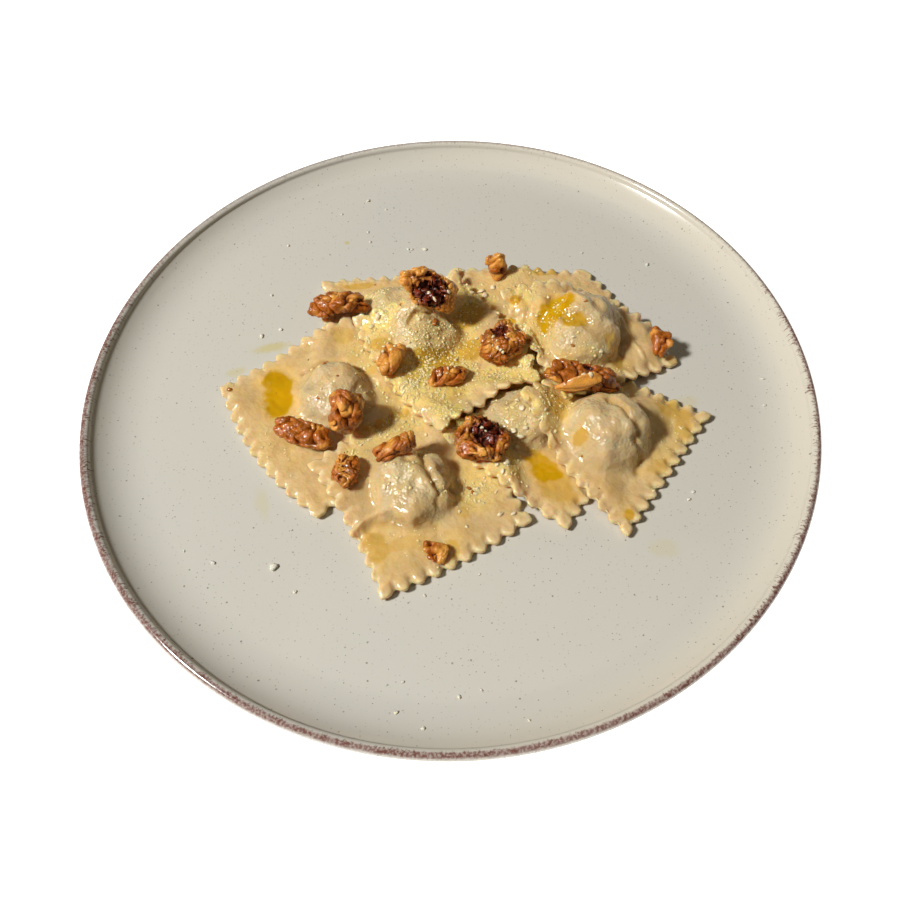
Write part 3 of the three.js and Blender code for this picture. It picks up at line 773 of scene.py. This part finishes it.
def dough_material(settings):
    """Wet cooked dough: cream, greyer over the filling, golden where oil stands on it or soaked in, and
    darker in its folds and hollows as painted shade.
    """
    material = new_material("wet_dough", Subsurface_Weight=0.75, Subsurface_Scale=0.004,
                            Subsurface_Radius=(1.0, 0.48, 0.16), Coat_Roughness=0.05, IOR=1.42)
    place = object_place(material)
    oil, cheese, filling = (painted(place, name) for name in ("oil", "cheese", "filling"))
    grains = effect("pimpled", place, 850.0, 0.4)
    base = mix(effect("cloudy", place, 75.0, 0.2), settings.cream, settings.deep)
    layers = (
        (effect("cloudy", place, 420.0, 0.3) * 0.3, settings.edge),
        (painted(place, "soaked"), settings.soaked),
        (filling, settings.filling),
        (painted(place, "edge"), settings.edge),
        (cheese, settings.cheese),
        # painted shade in the pressed folds and hollows
        (painted(place, "crease") * 0.6, settings.crease),
        (ramp(grains, -0.3, 0.15) * cheese * 0.6, settings.grains),
        (oil, settings.oil),
    )
    for share, laid_on in layers:
        base = mix(share, base, laid_on)
    film = effect("cloudy", place, 150.0, 0.12)
    damp = ramp(film, 0, 1, 0.05, 0.3) * ramp(filling, 0, 0.8, 1, 0.3)
    wet = 1.0 - oil * 0.75
    rough = ramp(film, 0, 1, 0.27, 0.13) * ramp(filling, 0, 0.8, 1, 1.7) * wet
    grainy = larger(ramp(filling, 0, 0.8, 0.34, 0.95), ramp(cheese, 0, 1, 0.34, 0.7))
    set_surface(material, Base_Color=base, Coat_Weight=larger(oil * 0.6, damp),
                Roughness=larger(rough, cheese * 0.3), Normal=bumpy(grains * wet * grainy, 0.45, 0.75))
    return material


def cook_raviolo(name, settings, material, dome_at, lump, wave, crimp_depth, folds=()):
    """Turns one CAD sheet into wet dough over a lumpy filling."""
    piece = copy_of(f"raviolo_{name}", f"cooked_{name}")
    outline = Outline(piece)
    finish_with(piece, "REMESH", mode="VOXEL", voxel_size=settings.grid)
    smooth(piece, 90, smooth_step(1.5, 4.5, outline.distance(points_of(piece))), factor=0.6)
    smooth(piece, 8)
    flat = points_of(piece)[:, :2]
    from_corner = np.min([np.linalg.norm(flat - corner, axis=1) for corner in outline.corners], axis=0)
    smooth(piece, 25, 1 - smooth_step(1.5, 4.5, from_corner))

    places = points_of(piece)
    top = smooth_step(0.05, 0.35, read_vertices(piece, "normal")[:, 2])
    from_edge = outline.distance(places)
    x, y, reach = dome_at
    from_dome = np.hypot(places[:, 0] - x, places[:, 1] - y) / reach
    dome = top * (1 - smooth_step(0.78, 1.12, from_dome))
    wavy = top * smooth_step(0.5, 5.0, from_edge) * (1 - dome)
    clumps = 0.35 * noise_at(places, 5.0, 21.0) + 0.2 * noise_at(places, 1.8, 23.0)
    cheese = top * cover(places, DRIFTS, clumps, 0.45, 1.35)
    pressed = np.zeros(len(places))
    for line, width, depth in folds:
        pressed += depth * np.exp(-(distance_to_line(places, line) / width) ** 2)
    displace(piece, top * outline.crimp(places), -crimp_depth)
    displace(piece, top * np.clip(pressed, 0, 2) / 2, -2.0)
    displace(piece, top * np.clip(-pressed, 0, 2) / 2, 2.0)
    displace(piece, dome, 2.2 * lump, texture("CLOUDS", 9.0, noise_depth=0))
    displace(piece, dome, 0.9 * lump, texture("CLOUDS", 4.0, noise_depth=0))
    displace(piece, wavy, 1.5 * wave, texture("CLOUDS", 8.0, noise_depth=0))
    displace(piece, top, 0.3, texture("CLOUDS", 2.2, noise_depth=0))
    displace(piece, cheese, 0.55, texture("CLOUDS", 1.1, noise_depth=1))
    smooth(piece, 1)

    wobble = 0.26 * noise_at(places, 4.0, 5.0) + 0.12 * noise_at(places, 1.6, 9.0)
    # Painted shade: how deep each vertex lies in a pressed fold or a hollow.
    creases = 0.6 * np.clip(pressed, 0, 1) + 2 * np.clip(hollowness(piece, 20) - 0.12, 0, 1)
    paint(piece, oil=cover(places, POOLS, wobble, 0.72, 1.04) * top,
          soaked=0.8 * cover(places, POOLS, wobble, 0.9, 1.75) * top,
          cheese=cheese * (1 - 0.6 * dome), filling=dome * (0.55 + 0.6 * noise_at(places, 6.0, 2.0)),
          crease=creases * top, edge=0.9 * (1 - smooth_step(0.4, 3.2, from_edge)))
    serve(piece, material, "dough", f"raviolo_{name}")


class RAVIOLI_OT_ravioli(bpy.types.Operator):
    """Cook the ravioli: fine dough over the filling, fluted, folded and wet"""

    bl_idname = "ravioli.ravioli"
    bl_label = "Cook the ravioli"

    def execute(self, context):
        settings = context.scene.ravioli_dough
        material = dough_material(settings)
        for name, form in RAVIOLI.items():
            cook_raviolo(name, settings, material, *form)
        return {"FINISHED"}


# ---- the walnuts


def walnut_material(settings):
    """Toasted skin, pale on ridges and broken faces, under a film of oil, with painted shade darkening its
    folds and the pushed-in hollows of some pieces.
    """
    material = new_material("toasted_walnut", Subsurface_Weight=0.2, Subsurface_Scale=0.0015,
                            Subsurface_Radius=(1.0, 0.4, 0.12), Coat_Weight=0.45, Coat_Roughness=0.08,
                            IOR=1.42)
    place = object_place(material)
    patches = effect("cloudy", place, 260.0, 0.16)
    base = mix(patches, [0.55 * c for c in settings.skin], settings.skin)
    base = mix(painted(place, "pale"), base, settings.flesh)
    # painted shade in the pushed-in hollows
    base = mix(painted(place, "core"), base, settings.core)
    # painted shade: the dark crease colour in the hollows, where the ridge mask is low
    base = mix(ramp(painted(place, "ridge"), 0.0, 0.85, 1.0, 0.0), base, settings.crease)
    set_surface(material, Base_Color=base, Roughness=ramp(patches, 0.0, 1.0, 0.17, 0.36),
                Normal=bumpy(effect("pimpled", place, 1300.0, 1.4), 0.2, 0.6))
    return material


def crack_walnut(name, settings, material, seed, lobe, pale, wrinkle=0.22, shaded_hollow_at=None):
    """Turns one CAD kernel into a piece of walnut with rounded lobes between folds."""
    piece = copy_of(f"walnut_{name}", f"toasted_{name}")
    finish_with(piece, "REMESH", mode="VOXEL", voxel_size=settings.grid)
    smooth(piece, 10)
    places = points_of(piece)
    warp = np.stack([noise_at(places, 1.9 * lobe, seed + k) for k in range(3)], axis=1)
    bent = places + 0.8 * lobe * warp
    coarse = noise_at(bent, lobe, seed + 10)
    fine = noise_at(bent, 0.42 * lobe, seed + 20)
    wrinkles = wrinkle * np.exp(-(fine / 0.18) ** 2)
    displace(piece, np.maximum(np.exp(-(coarse / 0.11) ** 2), wrinkles), -0.26 * lobe)
    displace(piece, np.sqrt(np.clip(np.abs(coarse) * 1.9, 0, 1)), 0.12 * lobe)
    core = 0.0
    # The hollow is pushed in and darkened with painted shade.
    if shaded_hollow_at:
        *middle, reach = shaded_hollow_at
        away = np.linalg.norm(places - middle, axis=1) / reach
        core = 1 - smooth_step(0.55, 1.0, away + 0.25 * noise_at(places, 2.5, seed))
        displace(piece, core, -0.3 * reach)
    whole = np.ones(len(places))
    displace(piece, whole, -0.9, texture("VORONOI", 3.4))
    displace(piece, whole, 0.45, texture("CLOUDS", 1.5))
    smooth(piece, 1)

    worn = smooth_step(-0.25, 0.3, noise_at(places, 4.0, seed + 30) + pale - 0.5)
    ridge = 1 - smooth_step(-0.04, 0.22, hollowness(piece, 12))
    paint(piece, ridge=ridge, pale=worn * smooth_step(0.3, 0.9, ridge), core=core)
    serve(piece, material, "walnut", f"walnut_{name}")


def peel_husk(material):
    """The flap of papery husk that stands off the long piece."""
    piece = new_primitive("grid", "walnut_husk", x_subdivisions=25, y_subdivisions=8, size=1)
    stations = np.linspace(0, 1, len(HUSK["lower"]))
    for vertex in piece.data.vertices:
        along, up = vertex.co.x + 0.5, vertex.co.y + 0.5
        low, high = (Vector([np.interp(along, stations, axis) for axis in zip(*line)])
                     for line in HUSK.values())
        belly = 1.1 * math.sin(math.pi * up) + 0.35 * math.sin(9 * up + 5 * along)
        vertex.co = on_plate(*((1 - up) * low + up * high - Vector((0, belly, 0))))
    finish_with(piece, "SOLIDIFY", thickness=0.45 * MM, offset=0)
    finish_with(piece, "SUBSURF", levels=1)
    lines = noise_at(points_of(piece) * (0.25, 1, 1), 0.8, 4.0)
    paint(piece, ridge=0.9, pale=0.85 + 0.5 * lines, core=0.0)
    serve(piece, material, "walnut")


class RAVIOLI_OT_walnuts(bpy.types.Operator):
    """Crack the walnuts and lay the pieces over the ravioli"""

    bl_idname = "ravioli.walnuts"
    bl_label = "Crack the walnuts"

    def execute(self, context):
        settings = context.scene.ravioli_walnuts
        material = walnut_material(settings)
        for i, (name, form) in enumerate(WALNUTS.items()):
            crack_walnut(name, settings, material, 3.1 * i, *form)
        peel_husk(material)
        return {"FINISHED"}


# ---- the cheese and the crumbs


def cheese_material(settings):
    """Grated hard cheese, wet with oil and a little see-through."""
    material = new_material("grated_cheese", Subsurface_Weight=0.4, Subsurface_Scale=0.001,
                            Subsurface_Radius=(1.0, 0.6, 0.3), Coat_Roughness=0.15)
    place = object_place(material)
    patches, dry = effect("cloudy", place, 220.0, 0.2), painted(place, "dry")
    darker = [c * share for c, share in zip(settings.tone, (0.97, 0.9, 0.7))]
    base = mix(dry, mix(patches, settings.tone, darker), settings.dry)
    set_surface(material, Base_Color=base, Coat_Weight=ramp(dry, 0, 1, 0.25, 0.0),
                Roughness=ramp(patches + dry, 0, 2, 0.28, 0.8),
                Normal=bumpy(effect("pimpled", place, 2200.0, 1.0), 0.08, 0.5))
    return material


def crumb_shapes(flatness, count=6):
    """A few ragged crumbs of unit size about the origin, to be copied."""
    shapes = []
    for i in range(count):
        crumb = new_primitive("ico_sphere", f"crumb_shape_{i}", subdivisions=2, radius=0.5)
        for vertex in crumb.data.vertices:
            pull = noise.noise_vector(Vector(vertex.co) * 2.6 + Vector((7.0 * i, 0, 3)))
            vertex.co = vertex.co * (1 + 0.55 * pull.x) + 0.14 * pull
        bpy.ops.transform.resize(value=(1.0, 0.55 + 0.08 * i, flatness + 0.05 * i))
        bpy.ops.object.transform_apply(location=False, rotation=True, scale=True)
        shapes.append(crumb)
    return shapes


class Surface:
    """The top of the food and plate, to let things fall on."""

    def __init__(self, pieces):
        graph = bpy.context.evaluated_depsgraph_get()
        self.trees = [BVHTree.FromObject(piece, graph) for piece in pieces]

    def under(self, x, y):
        """The highest point under x, y in millimetres, and its normal, in metres."""
        best = None
        for tree in self.trees:
            place, normal, _, _ = tree.ray_cast(on_plate(x, y, 100), Vector((0, 0, -1)))
            if place and (best is None or place.z > best[0].z):
                best = (place, normal if normal.z > 0 else -normal)
        return best


def drifted(draw, settings):
    """Where and how large the fine gratings are: x, y, size, all in millimetres."""
    crumbs = []
    small, large = settings.smallest / MM, settings.largest / MM
    for x, y, half_length, half_width, turn, strength in DRIFTS:
        angle = math.radians(turn)
        for _ in range(int(settings.thickness * strength * half_length * half_width)):
            u, v = draw.gauss(0, 0.5), draw.gauss(0, 0.5)
            across, along = half_width * v, half_length * u
            crumbs.append((x + along * math.cos(angle) - across * math.sin(angle),
                           y + along * math.sin(angle) + across * math.cos(angle),
                           small + (large - small) * draw.random() ** 3))
    return crumbs


def lies_on(sheets, served, crumb):
    """Whether a crumb falls on dough and not on something that lies over it."""
    found = sheets.under(*crumb[:2])
    return bool(found) and served.under(*crumb[:2])[0].z < found[0].z + 0.1 * MM


def join_copies(name, surface, falls, draw):
    """One mesh of copies of crumb shapes that fell on a surface, and how dry each vertex is.

    A fall is its shapes, its crumbs, how far they stand out, as a share of their size, and how dry.
    """
    points, faces, dryness = [], [], []
    for shapes, crumbs, stand, dry in falls:
        for x, y, size in crumbs:
            found = surface.under(x, y)
            if not found:
                continue
            place, normal = found
            shape = draw.choice(shapes).data
            lean = normal.to_track_quat("Z", "Y").to_matrix() @ Matrix.Rotation(draw.uniform(0, 6.3), 3, "Z")
            tumble = lean @ Matrix.Rotation(draw.uniform(-0.5, 0.5), 3, "X")
            start = len(points)
            points += [place + (tumble @ v.co + stand * normal) * size * MM for v in shape.vertices]
            faces += [[start + i for i in face.vertices] for face in shape.polygons]
            dryness += [dry] * len(shape.vertices)
    mesh = bpy.data.meshes.new(name)
    mesh.from_pydata(points, [], faces)
    piece = bpy.data.objects.new(name, mesh)
    bpy.context.scene.collection.objects.link(piece)
    return piece, dryness


class RAVIOLI_OT_cheese(bpy.types.Operator):
    """Grate hard cheese over the plate, and let crumbs of walnut fall"""

    bl_idname = "ravioli.cheese"
    bl_label = "Grate the cheese"

    def execute(self, context):
        settings = context.scene.ravioli_cheese
        draw = random.Random(settings.seed)
        served = Surface(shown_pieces())
        sheets = Surface([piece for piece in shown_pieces() if piece.name.startswith("cooked")])
        noise.seed_set(settings.seed)  # without it, noise_vector follows the clock
        fine, coarse = crumb_shapes(0.5), crumb_shapes(0.34)
        gratings = [crumb for crumb in drifted(draw, settings) if lies_on(sheets, served, crumb)]
        falls = ((fine, gratings, -0.06, 0.0), (coarse, FLAKES, 0.14, 0.45),
                 (coarse, STRAY_CRUMBS, 0.12, 1.0))
        piece, dryness = join_copies("grated_cheese", served, falls, draw)
        paint(piece, dry=np.array(dryness))
        serve(piece, cheese_material(settings), "dough")
        nuts, _ = join_copies("nut_crumbs", served, [(coarse, NUT_CRUMBS, 0.1, 0.0)], draw)
        paint(nuts, ridge=0.8, pale=0.25, core=0.0)
        serve(nuts, bpy.data.materials["toasted_walnut"], "walnut")
        for shape in fine + coarse:
            bpy.data.objects.remove(shape)
        return {"FINISHED"}


# ---- the stage


class RAVIOLI_OT_stage(bpy.types.Operator):
    """Set the floor, the light and the camera"""

    bl_idname = "ravioli.stage"
    bl_label = "Set the stage"

    KEY_FROM = Vector((-0.634, -0.170, 0.755))
    FILL_FROM = Vector((0.15, 0.0, 1.0))
    WARM = (1.0, 0.91, 0.72)
    LOOK_AT = Vector((-0.1, -27.1, 10.0)) * MM
    SENSOR_WIDTH = 36.0

    def add_light(self, name, direction, distance, size, power, tone):
        bpy.ops.object.light_add(type="AREA", location=direction.normalized() * distance)
        light = bpy.context.object
        light.name = name
        light.data.size = size
        light.data.energy = power
        light.data.color = tone
        light.rotation_euler = direction.to_track_quat("Z", "Y").to_euler()

    def add_camera(self, settings):
        back = Vector((0, -math.cos(settings.elevation), math.sin(settings.elevation)))
        level = Vector((1, 0, 0))
        right = math.cos(settings.roll) * level + math.sin(settings.roll) * back.cross(level)
        bpy.ops.object.camera_add(location=self.LOOK_AT + back * settings.distance)
        camera = bpy.context.object
        camera.rotation_euler = Matrix((right, back.cross(right), back)).transposed().to_euler()
        camera.data.lens = settings.lens
        camera.data.sensor_width = self.SENSOR_WIDTH
        camera.data.clip_start = 10 * MM
        bpy.context.scene.camera = camera

    def add_world(self):
        """A faint warm light from all round, which the camera sees bright where the floor ends."""
        world = bpy.data.worlds.new("studio")
        world.use_nodes = True
        seen = add_node(world.node_tree, "LightPath", output="Is Camera Ray")
        background = world.node_tree.nodes["Background"]
        feed(background, {"Color": self.WARM, "Strength": ramp(seen, 0.0, 1.0, 0.05, 1.1)})
        bpy.context.scene.world = world

    def execute(self, context):
        floor = new_primitive("plane", "pale_floor", size=6)
        floor.data.materials.append(new_material("pale_paper", Roughness=0.8, Base_Color=(0.9, 0.9, 0.9),
                                                 Emission_Color=(1, 1, 1), Emission_Strength=0.92))
        floor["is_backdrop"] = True
        self.add_light("key", self.KEY_FROM, 2.2, 0.28, 57.0, (0.985, 0.993, 1.0))
        self.add_light("fill", self.FILL_FROM, 1.5, 1.2, 1.9, (1.0, 0.90, 0.72))
        self.add_camera(context.scene.ravioli_stage)
        self.add_world()
        context.scene.view_settings.view_transform = "Standard"
        return {"FINISHED"}


# ---- the panel and the run

STEPS = (
    ("ravioli_plate", PlateSettings, RAVIOLI_OT_plate),
    ("ravioli_dough", DoughSettings, RAVIOLI_OT_ravioli),
    ("ravioli_walnuts", WalnutSettings, RAVIOLI_OT_walnuts),
    ("ravioli_cheese", CheeseSettings, RAVIOLI_OT_cheese),
    ("ravioli_stage", StageSettings, RAVIOLI_OT_stage),
)


class RAVIOLI_PT_panel(bpy.types.Panel):
    """Lists the steps of plating"""

    bl_idname = "RAVIOLI_PT_panel"
    bl_label = "Plated ravioli"
    bl_space_type = "VIEW_3D"
    bl_region_type = "UI"
    bl_category = "Ravioli"

    def draw(self, context):
        for name, settings, operator in STEPS:
            box = self.layout.box()
            for setting in settings.__annotations__:
                box.prop(getattr(context.scene, name), setting)
            box.operator(operator.bl_idname)


CLASSES = [cls for _, *pair in STEPS for cls in pair] + [RAVIOLI_PT_panel]


def register():
    for cls in CLASSES:
        bpy.utils.register_class(cls)
    for name, settings, _ in STEPS:
        setattr(bpy.types.Scene, name, PointerProperty(type=settings))


def unregister():
    for name, _, _ in STEPS:
        delattr(bpy.types.Scene, name)
    for cls in reversed(CLASSES):
        bpy.utils.unregister_class(cls)


def main():
    register()
    bpy.ops.ravioli.plate()
    bpy.ops.ravioli.ravioli()
    bpy.ops.ravioli.walnuts()
    bpy.ops.ravioli.cheese()
    bpy.ops.ravioli.stage()


if __name__ == "__main__":
    main()
